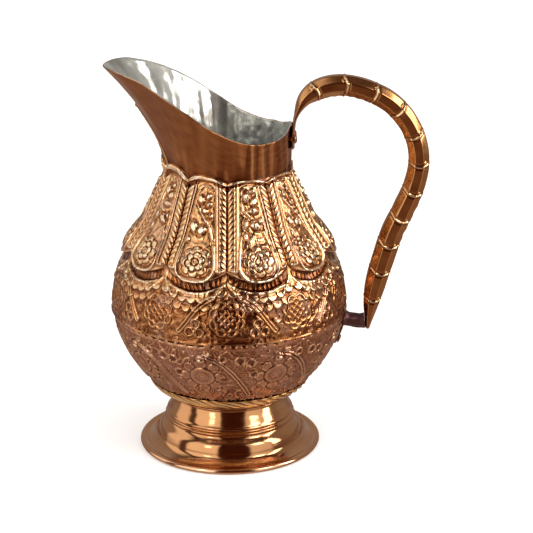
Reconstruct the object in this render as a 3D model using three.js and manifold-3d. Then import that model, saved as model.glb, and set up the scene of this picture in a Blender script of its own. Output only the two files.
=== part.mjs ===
// Copper water jug: two raised body shells, a spun foot, a tube handle and its rivets.
// Millimetres, +Z up. The origin is on the table under the middle of the jug's outline;
// the spout points to -X and the handle to +X.
import * as THREE from 'three';
import { mergeVertices } from 'three/addons/utils/BufferGeometryUtils.js';
import Module from 'manifold-3d';

const wasm = await Module();
wasm.setup();

// Driving dimensions
const JUG_HEIGHT = 280;
const SPOUT_REACH = 86.3;
const HANDLE_REACH = 141.5;
const NECK_RADIUS = 44;
const FOOT_RADIUS = 65.5;
const SHEET = 1.2;
const GAP = 0.3;
const MERGE_TOLERANCE = 1e-4;

// The vessel's own axis stands off the origin, because the handle reaches further than the spout
const AXIS_X = (SPOUT_REACH - HANDLE_REACH) / 2;

// Heights of the body
const SEAM_Z = 105;
const LAP = 7;
const NECK_BASE_Z = 205;
const NECK_FLARE_POWER = 1.75;

// Segments round the axis: four to a petal
const SEGMENTS = 40;

// Petals: ten lobes on the shoulder, one of them under the spout
const PETAL_COUNT = 10;
const PETAL_PITCH = 360 / PETAL_COUNT;

// Radius of the shoulder in the valleys between the petals, as [height, radius]
const SHOULDER = [
  [SEAM_Z, 84.2], [112, 83.7], [122, 82.2], [132, 79.8], [139, 77.2], [146, 73.2], [153, 70.2],
  [162, 65], [171, 59], [180, 54.5], [189, 50.8], [198, 47.2], [NECK_BASE_Z, 45], [216, NECK_RADIUS],
];

// How far a petal's middle stands out of the valleys, as [height, bulge]
const PETAL_BULGE = [
  [138, 0], [142, 0], [145, 0.8], [148, 3], [153, 4.4], [162, 3.8], [171, 3], [180, 2.6],
  [189, 2.2], [198, 1.4], [208, 0],
];

// A petal's lower end is round: it starts higher at its sides than in its middle, and the lift fades out above
const PETAL_END_LIFT = 8;
const PETAL_LIFT_LOW_Z = 150;
const PETAL_LIFT_HIGH_Z = 170;

// Heights at which the upper body has a ring of points
const BODY_RINGS = [
  SEAM_Z, 114, 124, 133, 140, 145, 149, 154, 163, 174, 188, NECK_BASE_Z, 220, 235, 250, 265, JUG_HEIGHT,
];

// The open mouth's edge, as [degrees from the spout, radius, height]
const RIM = [
  [-17, 79, 279.6], [0, SPOUT_REACH, JUG_HEIGHT], [17, 79, 279.6], [30, 68.4, 275.4], [46, 62.6, 267.6],
  [62, 58.6, 258.2], [78, 54.4, 247.6], [98, 47.6, 237.6], [120, 44.4, 233.2], [150, NECK_RADIUS, 234],
  [180, 44.8, 239], [210, NECK_RADIUS, 234],
];

// Outside of the lower bowl from the middle of its bottom, as [radius, height]
const BOWL = [
  [0, 35.4], [20, 36], [35, 38.4], [43.5, 41.9], [49.4, 46], [55, 50.8], [60.4, 56.6],
  [66.8, 64.4], [72.7, 73.6], [76.9, 82], [80.4, 91], [82.5, SEAM_Z - 3], [82.2, SEAM_Z + LAP],
];

// Foot's rolled hem round its edge wire: inner radius, height of its lip, and where its inside starts and
// ends, in turns round the wire
const HEM_INNER_RADIUS = 60.3;
const HEM_LIP = 0.8;
const HEM_TURNS = [0.32, -0.25];

// Foot: outside from the inner edge of the rolled hem up to the seat under the bowl, as [radius, height]
const FOOT_OUTSIDE = [
  [HEM_INNER_RADIUS, 0], [64, 0], [65.2, 0.9], [FOOT_RADIUS, 2.1], [64.8, 3.4], [63, 4], [60.6, 3.2],
  [56.2, 5], [53, 7.8], [52, 11.2], [50.4, 15.2], [46, 20.4], [47, 22.4], [45.2, 24.2],
  [45.8, 25.8], [44.4, 27.8], [42.4, 31.2], [40.4, 34.8], [39.6, 37.6], [42.8, 39.4],
];
const FOOT_INSIDE = [
  [42.1, 40.1], [38.6, 38.4], [39.1, 34.8], [41.1, 31], [43.2, 27], [43.9, 24.2], [44.6, 20.2],
  [49, 14.8], [50.8, 10.8], [51.8, 7.2], [55.6, 4], [60.4, 2],
];
const WIRE_RADIUS = 0.9;
const WIRE_CENTRE = [63, 2];

// Rope ring: a half-round moulding that lies on the bowl between two heights
const ROPE_LOW_Z = 44;
const ROPE_HIGH_Z = 53.6;
const ROPE_RISE = 1.8;
const ROPE_ROUNDNESS = 0.6;

// Handle: centre line in the XZ plane from the tab on the neck, as [distance from the vessel's axis, height]
const HANDLE_LINE = [
  [45.7, 222], [46, 234], [47.6, 245], [53.5, 256.5], [64.5, 263.6], [80, 266.1], [97, 262.2], [112.6, 254],
  [124.6, 241], [131.6, 226], [133.6, 210], [130.4, 193], [123.4, 176], [116, 159.5], [110.6, 142],
  [105.8, 125], [102.4, 109], [99.5, 87.6],
];
// Handle section along its length, as [fraction, thickness in the plane, width across it, wall]
const HANDLE_SECTION = [
  [0, 1.9, 19, 0.75], [0.05, 1.9, 19, 0.75], [0.08, 3.2, 18.4, 0.8], [0.12, 9, 16.6, 1.1],
  [0.16, 14.6, 15.6, 1.1], [0.22, 15.6, 15.6, 1.1], [0.5, 15.6, 15.6, 1.1], [0.72, 17.2, 16, 1.1],
  [0.86, 16.4, 15.4, 1.1], [0.93, 12.4, 13.6, 1.1], [1, 3.4, 11, 1.1],
];
const HANDLE_SIDES = 8;
const HANDLE_STEPS = 53;
const FIRST_RING_STEP = 8;
const RING_EVERY = 4;
const RING_RISE = 0.6;

// The handle's tab follows the round neck up to the first height and is free of it from the second
const TAB_HELD_Z = 236;
const TAB_FREE_Z = 254;
const TAB_REACH = 60;

// Strut: a bar from the bowl to the handle's lower end, and a pad that holds it on the bowl
const STRUT_LINE = [[82.3, 94.4], [86.5, 93.3], [91, 92.5], [94, 92.3], [96.9, 92.4]];
const STRUT_THICK = 9.6;
const STRUT_WIDE = 9.6;
const STRUT_SIDES = 8;
const STRUT_STEPS = 5;
const PAD_LOW_Z = 77;
const PAD_HIGH_Z = 99.5;
const PAD_WIDE = 22;
const PAD_THICK = 1.6;

// Rivets: flat head inside, domed head outside
const RIVET_SHANK_RADIUS = 1.5;
const RIVET_HEAD_RADIUS = 3.2;
const RIVET_HEAD = 1.3;
const RIVET_SEGMENTS = 10;
const RIVET_HOLE_LENGTH = 14;
const NECK_RIVETS = { height: 229, turn: 7.4, wallRadius: 44.4, grip: 2.7 };
const STRUT_RIVETS = { height: 82, turn: 5.4, grip: PAD_THICK + 2 * GAP };

// Smooth value at a position, from rows of [position, value, value...] in rising order
function through(rows, position, column = 1) {
  const last = rows.length - 1;
  const at = THREE.MathUtils.clamp(position, rows[0][0], rows[last][0]);
  let i = 0;
  while (i < last - 1 && at > rows[i + 1][0]) i += 1;
  const slope = (k) => {
    const a = Math.max(k - 1, 0);
    const b = Math.min(k + 1, last);
    return (rows[b][column] - rows[a][column]) / (rows[b][0] - rows[a][0]);
  };
  const span = rows[i + 1][0] - rows[i][0];
  const t = (at - rows[i][0]) / span;
  const rest = 1 - t;
  return rows[i][column] * (1 + 2 * t) * rest * rest
    + rows[i + 1][column] * t * t * (3 - 2 * t)
    + span * t * rest * (slope(i) * rest - slope(i + 1) * t);
}

// Closed lathe about +Z. The profile climbs its outside and comes back down its inside.
function turned(profile, segments) {
  const points = profile.map(([radius, height]) => new THREE.Vector2(radius, height));
  if (profile[0][0] > 0) points.push(points[0].clone());
  const geometry = new THREE.LatheGeometry(points, segments);
  geometry.rotateX(Math.PI / 2);
  return geometry;
}

// Moves every vertex with a function from one Vector3 to another
function reshape(geometry, move) {
  const position = geometry.getAttribute('position');
  const point = new THREE.Vector3();
  for (let i = 0; i < position.count; i += 1) {
    move(point.fromBufferAttribute(position, i));
    position.setXYZ(i, point.x, point.y, point.z);
  }
  return geometry;
}

// Manifold solid from a closed geometry
function toSolid(geometry) {
  const bare = new THREE.BufferGeometry();
  bare.setAttribute('position', geometry.getAttribute('position').clone());
  if (geometry.index) bare.setIndex(geometry.index.clone());
  const merged = mergeVertices(bare, MERGE_TOLERANCE);
  return new wasm.Manifold(new wasm.Mesh({
    numProp: 3,
    vertProperties: Float32Array.from(merged.getAttribute('position').array),
    triVerts: Uint32Array.from(merged.index.array),
  }));
}

function fromSolid(solid) {
  const mesh = solid.getMesh();
  const geometry = new THREE.BufferGeometry();
  geometry.setAttribute('position', new THREE.BufferAttribute(new Float32Array(mesh.vertProperties), 3));
  geometry.setIndex(new THREE.BufferAttribute(new Uint32Array(mesh.triVerts), 1));
  geometry.computeVertexNormals();
  return geometry;
}

function withHoles(geometry, cutters) {
  const body = cutters.reduce((solid, cutter) => solid.subtract(toSolid(cutter)), toSolid(geometry));
  return fromSolid(body);
}

// Petal bulge at an angle in degrees from the spout
function petalBulge(angle, height) {
  const offset = angle - PETAL_PITCH * Math.round(angle / PETAL_PITCH);
  const across = Math.abs(offset) / (PETAL_PITCH / 2);
  const fade = 1 - THREE.MathUtils.smoothstep(height, PETAL_LIFT_LOW_Z, PETAL_LIFT_HIGH_Z);
  return through(PETAL_BULGE, height - PETAL_END_LIFT * across * across * fade) * (1 - across ** 3);
}

// The upper body's surface, drawn first as a straight-necked shell, then pulled into petals, spout and rim
function pullUpperBody(point) {
  const radius = Math.hypot(point.x, point.y);
  const angle = THREE.MathUtils.radToDeg(Math.atan2(Math.abs(point.y), -point.x));
  const climb = Math.max(0, (point.z - NECK_BASE_Z) / (JUG_HEIGHT - NECK_BASE_Z));
  const flare = (through(RIM, angle, 1) - NECK_RADIUS) * climb ** NECK_FLARE_POWER;
  const moved = radius + petalBulge(angle, point.z) + flare;
  const height = climb > 0 ? THREE.MathUtils.lerp(NECK_BASE_Z, through(RIM, angle, 2), climb) : point.z;
  point.set(point.x * moved / radius, point.y * moved / radius, height);
}

function makeUpperBody() {
  const outside = BODY_RINGS.map((z) => [through(SHOULDER, z), z]);
  const inside = outside.map(([radius, z]) => [radius - SHEET, z]).reverse();
  return reshape(turned([...outside, ...inside], SEGMENTS), pullUpperBody);
}

// Points of a polyline moved sideways to its left by a distance
function besideLine(line, distance) {
  return line.map((point, i) => {
    const [ax, az] = line[Math.max(i - 1, 0)];
    const [bx, bz] = line[Math.min(i + 1, line.length - 1)];
    const length = Math.hypot(bx - ax, bz - az);
    return [point[0] - distance * (bz - az) / length, point[1] + distance * (bx - ax) / length];
  });
}

function makeLowerBowl() {
  const inside = besideLine(BOWL, SHEET).map(([radius, z], i) => (i === 0 ? [0, z] : [radius, z])).reverse();
  return turned([...BOWL, ...inside], SEGMENTS);
}

// Outside radius of the bowl at a height
function bowlRadius(height) {
  return through(BOWL.slice(1).map(([radius, z]) => [z, radius]), height);
}

// Outward direction of the bowl's wall at a height, as [radial, upward]
function bowlNormal(height) {
  const slope = bowlRadius(height + 1) - bowlRadius(height - 1);
  const length = Math.hypot(2, slope);
  return [2 / length, -slope / length];
}

// Points beside the bowl's outside from one height to another, at a distance given by the fraction climbed
function alongBowl(low, high, count, distance) {
  return Array.from({ length: count + 1 }, (_, i) => {
    const part = i / count;
    const height = THREE.MathUtils.lerp(low, high, part);
    const [radial, upward] = bowlNormal(height);
    const out = distance(part);
    return [bowlRadius(height) + radial * out, height + upward * out];
  });
}

function makeRopeRing() {
  const clearance = 2 * GAP;
  const swell = (part) => clearance + ROPE_RISE * Math.sin(Math.PI * part) ** ROPE_ROUNDNESS;
  const outside = alongBowl(ROPE_LOW_Z, ROPE_HIGH_Z, 5, swell);
  const inside = alongBowl(ROPE_LOW_Z, ROPE_HIGH_Z, 3, () => clearance).slice(1, -1).reverse();
  return turned([...outside, ...inside], SEGMENTS);
}

// Points on part of a circle about the wire's centre
function aroundWire(radius, startTurn, endTurn, count) {
  return Array.from({ length: count + 1 }, (_, i) => {
    const turn = THREE.MathUtils.lerp(startTurn, endTurn, i / count) * 2 * Math.PI;
    return [WIRE_CENTRE[0] + radius * Math.cos(turn), WIRE_CENTRE[1] + radius * Math.sin(turn)];
  });
}

function makeFoot() {
  const hem = aroundWire(WIRE_RADIUS + GAP, ...HEM_TURNS, 4);
  return turned([...FOOT_OUTSIDE, ...FOOT_INSIDE, ...hem, [HEM_INNER_RADIUS, HEM_LIP]], SEGMENTS);
}

function makeFootWire() {
  const sides = 6;
  return turned(aroundWire(WIRE_RADIUS, 0, (sides - 1) / sides, sides - 1), SEGMENTS);
}

// Places a straight extrusion of unit length along a curve in the XZ plane. sizeAt turns a vertex and
// its fraction of the length into its offset inwards in the plane and its offset across the plane.
function bendAlong(geometry, line, sizeAt) {
  const points = line.map(([x, z]) => new THREE.Vector3(x, 0, z));
  const curve = new THREE.CatmullRomCurve3(points, false, 'centripetal');
  return reshape(geometry, (point) => {
    const fraction = THREE.MathUtils.clamp(point.z, 0, 1);
    const centre = curve.getPointAt(fraction);
    const along = curve.getTangentAt(fraction);
    const [inwards, across] = sizeAt(point, fraction);
    point.set(centre.x + along.z * inwards, across, centre.z - along.x * inwards);
  });
}

// Regular polygon of a given radius, as a shape or as a hole's path
function polygon(outline, radius, sides) {
  const corners = Array.from({ length: sides }, (_, i) => {
    const turn = 2 * Math.PI * (i + 0.5) / sides;
    return new THREE.Vector2(radius * Math.cos(turn), radius * Math.sin(turn));
  });
  return outline.setFromPoints([...corners, corners[0].clone()]);
}

// Flat tab at the handle's upper end: it follows the round neck
function wrapToNeck(point) {
  const isTab = point.x < TAB_REACH && point.z > NECK_BASE_Z;
  const hold = isTab ? 1 - THREE.MathUtils.smoothstep(point.z, TAB_HELD_Z, TAB_FREE_Z) : 0;
  point.x -= hold * (NECK_RADIUS - Math.sqrt(NECK_RADIUS ** 2 - point.y ** 2));
}

// Tube that opens at both ends. The section is drawn at unit size with its bore at half size.
function makeHandleTube() {
  const bore = 0.5;
  const section = polygon(new THREE.Shape(), 1, HANDLE_SIDES);
  section.holes.push(polygon(new THREE.Path(), bore, HANDLE_SIDES));
  const tube = new THREE.ExtrudeGeometry(section, { depth: 1, steps: HANDLE_STEPS, bevelEnabled: false });
  bendAlong(tube, HANDLE_LINE, (point, fraction) => {
    const reach = Math.hypot(point.x, point.y);
    const step = Math.round(fraction * HANDLE_STEPS);
    const isRing = step >= FIRST_RING_STEP && step < HANDLE_STEPS - RING_EVERY && step % RING_EVERY === 0;
    const growth = reach < (1 + bore) / 2 ? -through(HANDLE_SECTION, fraction, 3) : isRing * RING_RISE;
    const halfThick = through(HANDLE_SECTION, fraction, 1) / 2 + growth;
    const halfWide = through(HANDLE_SECTION, fraction, 2) / 2 + growth;
    return [point.x / reach * halfThick, point.y / reach * halfWide];
  });
  return reshape(tube, wrapToNeck);
}

// Curved plate on the bowl's outside, centred on the handle's side
function makePad() {
  const outside = alongBowl(PAD_LOW_Z, PAD_HIGH_Z, 5, () => GAP + PAD_THICK);
  const inside = alongBowl(PAD_LOW_Z, PAD_HIGH_Z, 5, () => GAP).reverse();
  const outline = new THREE.Shape([...outside, ...inside].map(([x, z]) => new THREE.Vector2(x, z)));
  const plate = new THREE.ExtrudeGeometry(outline, { depth: PAD_WIDE, steps: 6, bevelEnabled: false });
  const wrapRadius = bowlRadius((PAD_LOW_Z + PAD_HIGH_Z) / 2);
  return reshape(plate, (point) => {
    const turn = (PAD_WIDE / 2 - point.z) / wrapRadius;
    point.set(point.x * Math.cos(turn), point.x * Math.sin(turn), point.y);
  });
}

function makeStrutBar() {
  const section = polygon(new THREE.Shape(), 1, STRUT_SIDES);
  const bar = new THREE.ExtrudeGeometry(section, { depth: 1, steps: STRUT_STEPS, bevelEnabled: false });
  const corner = 1 / Math.cos(Math.PI / STRUT_SIDES);
  return bendAlong(bar, STRUT_LINE, (point) => [
    point.x * corner * STRUT_THICK / 2,
    point.y * corner * STRUT_WIDE / 2,
  ]);
}

// Rivet along +Z from its inside head to its outside head, with z = 0 on the wall's outside
function makeRivet(grip) {
  const seat = -SHEET - 2 * GAP;
  return turned([
    [0, seat - RIVET_HEAD], [RIVET_HEAD_RADIUS * 0.8, seat - RIVET_HEAD], [RIVET_HEAD_RADIUS, seat],
    [RIVET_SHANK_RADIUS, seat], [RIVET_SHANK_RADIUS, grip], [RIVET_HEAD_RADIUS, grip],
    [RIVET_HEAD_RADIUS * 0.8, grip + RIVET_HEAD * 0.7], [0, grip + RIVET_HEAD],
  ], RIVET_SEGMENTS);
}

// Where a rivet sits: side is -1 at the front and +1 at the back
function rivetPlace(radius, height, turn, [radial, upward], side) {
  const angle = THREE.MathUtils.degToRad(turn) * side;
  const outward = new THREE.Vector3(radial * Math.cos(angle), radial * Math.sin(angle), upward);
  const place = new THREE.Object3D();
  place.position.set(radius * Math.cos(angle), radius * Math.sin(angle), height);
  place.quaternion.setFromUnitVectors(new THREE.Vector3(0, 0, 1), outward);
  place.updateMatrix();
  return place;
}

function neckPlace(side) {
  return rivetPlace(NECK_RIVETS.wallRadius, NECK_RIVETS.height, NECK_RIVETS.turn, [1, 0], side);
}

function strutPlace(side) {
  const { height, turn } = STRUT_RIVETS;
  return rivetPlace(bowlRadius(height), height, turn, bowlNormal(height), side);
}

function rivetHoles(placeOf) {
  const radius = RIVET_SHANK_RADIUS + GAP;
  return [-1, 1].map((side) => {
    const hole = new THREE.CylinderGeometry(radius, radius, RIVET_HOLE_LENGTH, RIVET_SEGMENTS + 2);
    hole.rotateX(Math.PI / 2);
    return hole.applyMatrix4(placeOf(side).matrix);
  });
}

function makeStrut() {
  const whole = toSolid(makeStrutBar()).add(toSolid(makePad()));
  return withHoles(fromSolid(whole), rivetHoles(strutPlace));
}

// Finishes
const hammeredCopper = new THREE.MeshStandardMaterial({ color: 0x9a623c, roughness: 0.32, metalness: 1 });
const bowlCopper = new THREE.MeshStandardMaterial({ color: 0x8a5638, roughness: 0.42, metalness: 1 });
const polishedCopper = new THREE.MeshStandardMaterial({ color: 0xb4703f, roughness: 0.12, metalness: 1 });
const handleCopper = new THREE.MeshStandardMaterial({ color: 0x8a4f28, roughness: 0.22, metalness: 1 });
const brazedCopper = new THREE.MeshStandardMaterial({ color: 0x5b3630, roughness: 0.5, metalness: 1 });

// Assembly, in the vessel's own axes
const vessel = new THREE.Group();
vessel.position.x = AXIS_X;

function addPiece(name, geometry, material) {
  const mesh = new THREE.Mesh(geometry, material);
  mesh.name = name;
  vessel.add(mesh);
  return mesh;
}

function addRivet(name, grip, place, material) {
  const mesh = addPiece(name, makeRivet(grip), material);
  mesh.position.copy(place.position);
  mesh.quaternion.copy(place.quaternion);
}

addPiece('upper_body', withHoles(makeUpperBody(), rivetHoles(neckPlace)), hammeredCopper);
addPiece('lower_bowl', withHoles(makeLowerBowl(), rivetHoles(strutPlace)), bowlCopper);
addPiece('joint_rope_ring', makeRopeRing(), hammeredCopper);
addPiece('foot', makeFoot(), polishedCopper);
addPiece('foot_edge_wire', makeFootWire(), brazedCopper);
addPiece('handle_tube', withHoles(makeHandleTube(), rivetHoles(neckPlace)), handleCopper);
addPiece('handle_strut', makeStrut(), brazedCopper);
for (const [end, side] of [['front', -1], ['back', 1]]) {
  addRivet(`neck_rivet_${end}`, NECK_RIVETS.grip, neckPlace(side), handleCopper);
  addRivet(`strut_rivet_${end}`, STRUT_RIVETS.grip, strutPlace(side), brazedCopper);
}

const jug = new THREE.Group();
jug.add(vessel);

export default jug;
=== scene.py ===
"""Looks of the copper water jug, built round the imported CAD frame.

Lengths in this script are in millimetres from the vessel's own axis, +Z up, with the spout to -X and
the handle to +X, and they are scaled to metres where a mesh is made. Turns are in degrees round the
axis: 0 at the spout, 90 at the front (-Y), 180 at the handle.
"""
import math

import bpy
import numpy as np
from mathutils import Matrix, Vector


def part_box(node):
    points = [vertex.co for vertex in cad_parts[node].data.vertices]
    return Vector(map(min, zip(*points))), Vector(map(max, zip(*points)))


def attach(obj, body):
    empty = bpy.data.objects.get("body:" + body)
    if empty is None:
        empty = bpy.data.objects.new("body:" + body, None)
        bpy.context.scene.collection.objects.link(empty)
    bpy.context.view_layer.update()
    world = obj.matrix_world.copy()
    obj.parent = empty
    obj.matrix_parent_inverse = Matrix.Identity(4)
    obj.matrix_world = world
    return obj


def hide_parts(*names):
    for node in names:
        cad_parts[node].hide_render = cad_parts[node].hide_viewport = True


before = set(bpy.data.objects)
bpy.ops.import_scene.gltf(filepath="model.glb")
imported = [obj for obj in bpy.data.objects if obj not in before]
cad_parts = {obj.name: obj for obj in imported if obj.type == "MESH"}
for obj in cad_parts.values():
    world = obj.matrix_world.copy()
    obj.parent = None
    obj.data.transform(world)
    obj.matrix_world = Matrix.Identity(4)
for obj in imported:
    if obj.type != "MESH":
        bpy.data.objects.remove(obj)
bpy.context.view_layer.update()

MM = 0.001
BODY = "root"
foot_low, foot_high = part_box("foot")
AXIS_X = (foot_low.x + foot_high.x) / 2 / MM

# Driving sizes, the same as the CAD model's
JUG_HEIGHT = 280
SPOUT_REACH = 86.3
NECK_RADIUS = 44
FOOT_RADIUS = 65.5
SHEET = 1.2
SKIN = SHEET / 2
GAP = 0.3
SEAM_Z = 105
LAP = 7
NECK_BASE_Z = 205
NECK_FLARE_POWER = 1.75
PETAL_PITCH = 36

# Radius of the shoulder in the valleys between the petals, as [height, radius]
SHOULDER = [
    [SEAM_Z, 84.2], [112, 83.7], [122, 82.2], [132, 79.8], [139, 77.2], [146, 73.2], [153, 70.2],
    [162, 65], [171, 59], [180, 54.5], [189, 50.8], [198, 47.2], [NECK_BASE_Z, 45], [216, NECK_RADIUS],
]

# How far a petal's middle stands out of the valleys, as [height, bulge]
PETAL_BULGE = [
    [138, 0], [142, 0], [145, 0.8], [148, 3], [153, 4.4], [162, 3.8], [171, 3], [180, 2.6],
    [189, 2.2], [198, 1.4], [208, 0],
]

# The open mouth's edge, as [degrees from the spout, radius, height]
RIM = [
    [-17, 79, 279.6], [0, SPOUT_REACH, JUG_HEIGHT], [17, 79, 279.6], [30, 68.4, 275.4], [46, 62.6, 267.6],
    [62, 58.6, 258.2], [78, 54.4, 247.6], [98, 47.6, 237.6], [120, 44.4, 233.2], [150, NECK_RADIUS, 234],
    [180, 44.8, 239], [210, NECK_RADIUS, 234],
]

# Outside of the lower bowl from near the middle of its bottom, as [radius, height]
BOWL = [
    [0, 35.4], [20, 36], [35, 38.4], [43.5, 41.9], [49.4, 46], [55, 50.8], [60.4, 56.6],
    [66.8, 64.4], [72.7, 73.6], [76.9, 82], [80.4, 91], [82.5, SEAM_Z - 3], [82.2, SEAM_Z + LAP],
]

# Foot's rolled hem round its edge wire
WIRE_RADIUS = 0.9
WIRE_CENTRE = [63, 2]
HEM_INNER_RADIUS = 60.3
HEM_LIP = 0.8

# Foot: outside from the inner edge of the rolled hem up to the seat under the bowl, then its inside
FOOT_OUTSIDE = [
    [HEM_INNER_RADIUS, 0], [64, 0], [65.2, 0.9], [FOOT_RADIUS, 2.1], [64.8, 3.4], [63, 4], [60.6, 3.2],
    [56.2, 5], [53, 7.8], [52, 11.2], [50.4, 15.2], [46, 20.4], [47, 22.4], [45.2, 24.2],
    [45.8, 25.8], [44.4, 27.8], [42.4, 31.2], [40.4, 34.8], [39.6, 37.6], [42.8, 39.4],
]
FOOT_INSIDE = [
    [42.1, 40.1], [38.6, 38.4], [39.1, 34.8], [41.1, 31], [43.2, 27], [43.9, 24.2], [44.6, 20.2],
    [49, 14.8], [50.8, 10.8], [51.8, 7.2], [55.6, 4], [60.4, 2],
]

# Rope ring on the bowl
ROPE_LOW_Z = 44
ROPE_HIGH_Z = 53.6
ROPE_RISE = 1.8
ROPE_STRANDS = 42
ROPE_SLANT = 2.6

# Handle: centre line in the XZ plane from the tab on the neck, and section along it as
# [fraction, thickness in the plane, width across it]
HANDLE_LINE = [
    [45.7, 222], [46, 234], [47.6, 245], [53.5, 256.5], [64.5, 263.6], [80, 266.1], [97, 262.2], [112.6, 254],
    [124.6, 241], [131.6, 226], [133.6, 210], [130.4, 193], [123.4, 176], [116, 159.5], [110.6, 142],
    [105.8, 125], [102.4, 109], [99.5, 87.6],
]
HANDLE_SECTION = [
    [0, 1.9, 19], [0.05, 1.9, 19], [0.08, 3.2, 18.4], [0.12, 9, 16.6], [0.16, 14.6, 15.6],
    [0.22, 15.6, 15.6], [0.5, 15.6, 15.6], [0.72, 17.2, 16], [0.86, 16.4, 15.4],
    [0.93, 12.4, 13.6], [1, 3.4, 11],
]
HANDLE_SIDES = 8
FIRST_RING = 0.163
RING_STEP = 0.0755
RING_COUNT = 11

# Strut and its pad on the bowl
STRUT_LINE = [[80.6, 94.8], [82.3, 94.4], [86.5, 93.3], [91, 92.5], [94, 92.3], [97.35, 92.6]]
STRUT_THICK = 10
STRUT_WIDE = 10
PAD_LOW_Z = 77
PAD_HIGH_Z = 99.5
PAD_WIDE = 22
PAD_THICK = 1.6

# Rivets
RIVET_SHANK_RADIUS = 1.5
RIVET_HEAD_RADIUS = 3.2
RIVET_HEAD = 1.3
NECK_RIVETS = {"height": 229, "turn": 7.4, "wall_radius": 44.4, "grip": 2.7}
STRUT_RIVETS = {"height": 82, "turn": 5.4, "grip": PAD_THICK + 2 * GAP}

# Samples round the axis
BODY_COLUMNS = 1080
BOWL_COLUMNS = 900
PLAIN_COLUMNS = 288


# ---- numbers

def smoothstep(low, high, value):
    part = np.clip((value - low) / (high - low), 0, 1)
    return part * part * (3 - 2 * part)


def from_nearest(value, pitch):
    """Signed distance from the nearest multiple of a pitch."""
    return value - pitch * np.round(value / pitch)


def full_turn(columns):
    """Even turns in degrees all the way round, as one row."""
    return np.linspace(-180, 180, columns, endpoint=False)[None, :]


def full_circle(columns):
    """Even angles in radians all the way round, as one row."""
    return np.linspace(0, 2 * math.pi, columns, endpoint=False)[None, :]


def through(rows, position, column=1):
    """Smooth value at each position, from rows of [position, value, value...] in rising order."""
    table = np.array(rows, float)
    x, y = table[:, 0], table[:, column]
    index = np.arange(len(x))
    behind = np.maximum(index - 1, 0)
    ahead = np.minimum(index + 1, len(x) - 1)
    slope = (y[ahead] - y[behind]) / (x[ahead] - x[behind])
    at = np.clip(position, x[0], x[-1])
    i = np.clip(np.searchsorted(x, at) - 1, 0, len(x) - 2)
    span = x[i + 1] - x[i]
    t = (at - x[i]) / span
    rest = 1 - t
    return (
        y[i] * (1 + 2 * t) * rest * rest
        + y[i + 1] * t * t * (3 - 2 * t)
        + span * t * rest * (slope[i] * rest - slope[i + 1] * t)
    )


def between(a, b, start, end, at):
    """Value at a position on the straight line from a at start to b at end."""
    return ((end - at) * a + (at - start) * b) / (end - start)


def smooth_curve(points, steps):
    """Centripetal Catmull-Rom curve through points, with an even number of steps between each two."""
    p = np.array(points, float)
    p = np.vstack([2 * p[0] - p[1], p, 2 * p[-1] - p[-2]])
    knots = np.concatenate([[0], np.cumsum(np.linalg.norm(np.diff(p, axis=0), axis=1) ** 0.5)])
    pieces = []
    for i in range(1, len(p) - 2):
        t = np.linspace(knots[i], knots[i + 1], steps, endpoint=False)[:, None]
        k0, k1, k2, k3 = knots[i - 1:i + 3]
        a1 = between(p[i - 1], p[i], k0, k1, t)
        a2 = between(p[i], p[i + 1], k1, k2, t)
        a3 = between(p[i + 1], p[i + 2], k2, k3, t)
        b1 = between(a1, a2, k0, k2, t)
        b2 = between(a2, a3, k1, k3, t)
        pieces.append(between(b1, b2, k1, k2, t))
    return np.vstack([*pieces, p[-2:-1]])


def soften(field, reach):
    """Mean of a field over +-reach samples. Columns wrap round, and rows stop at the edge."""
    span = 2 * reach + 1
    total = np.cumsum(np.pad(field, ((reach + 1, reach), (0, 0)), mode="edge"), axis=0)
    field = (total[span:] - total[:-span]) / span
    total = np.cumsum(np.pad(field, ((0, 0), (reach + 1, reach)), mode="wrap"), axis=1)
    return (total[:, span:] - total[:, :-span]) / span


def lowest_near(field, reach):
    """Lowest value of a field within +-reach samples, one direction after the other."""
    for axis in (0, 1):
        shifted = [np.roll(field, step, axis=axis) for step in range(-reach, reach + 1)]
        field = np.min(shifted, axis=0)
    return field


def smooth_min(a, b, blend):
    """Lower of two distances, with a rounded corner where they meet."""
    h = np.clip(0.5 + 0.5 * (b - a) / blend, 0, 1)
    return b + (a - b) * h - blend * h * (1 - h)


def ripples(seed, across, along, wavelengths, count):
    """Smooth irregular field with about unit height, as a sum of seeded waves."""
    rng = np.random.default_rng(seed)
    total = 0
    for _ in range(count):
        length = rng.uniform(*wavelengths)
        heading = rng.uniform(0, 2 * math.pi)
        start = rng.uniform(0, 2 * math.pi)
        reach = across * math.cos(heading) + along * math.sin(heading)
        total = total + np.sin(2 * math.pi * reach / length + start)
    return total / math.sqrt(count / 2)


# ---- relief stamps, all in millimetres

def ridge(distance, width):
    return np.exp(-(distance / width) ** 2)


def dome(distance, radius):
    return np.sqrt(np.clip(1 - (distance / radius) ** 2, 0, 1))


def round_petals(x, y, count, reach, start=0.0):
    """Distance from each point to the nearest of a ring of petal centres."""
    offset = from_nearest(np.arctan2(y, x) - start, 2 * math.pi / count)
    rho = np.hypot(x, y)
    return np.hypot(rho * np.cos(offset) - reach, rho * np.sin(offset))


def line_distance(x, y, points):
    """Distance from each point to a polyline."""
    best = np.full(np.broadcast(x, y).shape, 1e6)
    for (ax, ay), (bx, by) in zip(points[:-1], points[1:]):
        dx, dy = bx - ax, by - ay
        t = np.clip(((x - ax) * dx + (y - ay) * dy) / (dx * dx + dy * dy), 0, 1)
        best = np.minimum(best, np.hypot(x - ax - t * dx, y - ay - t * dy))
    return best


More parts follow.
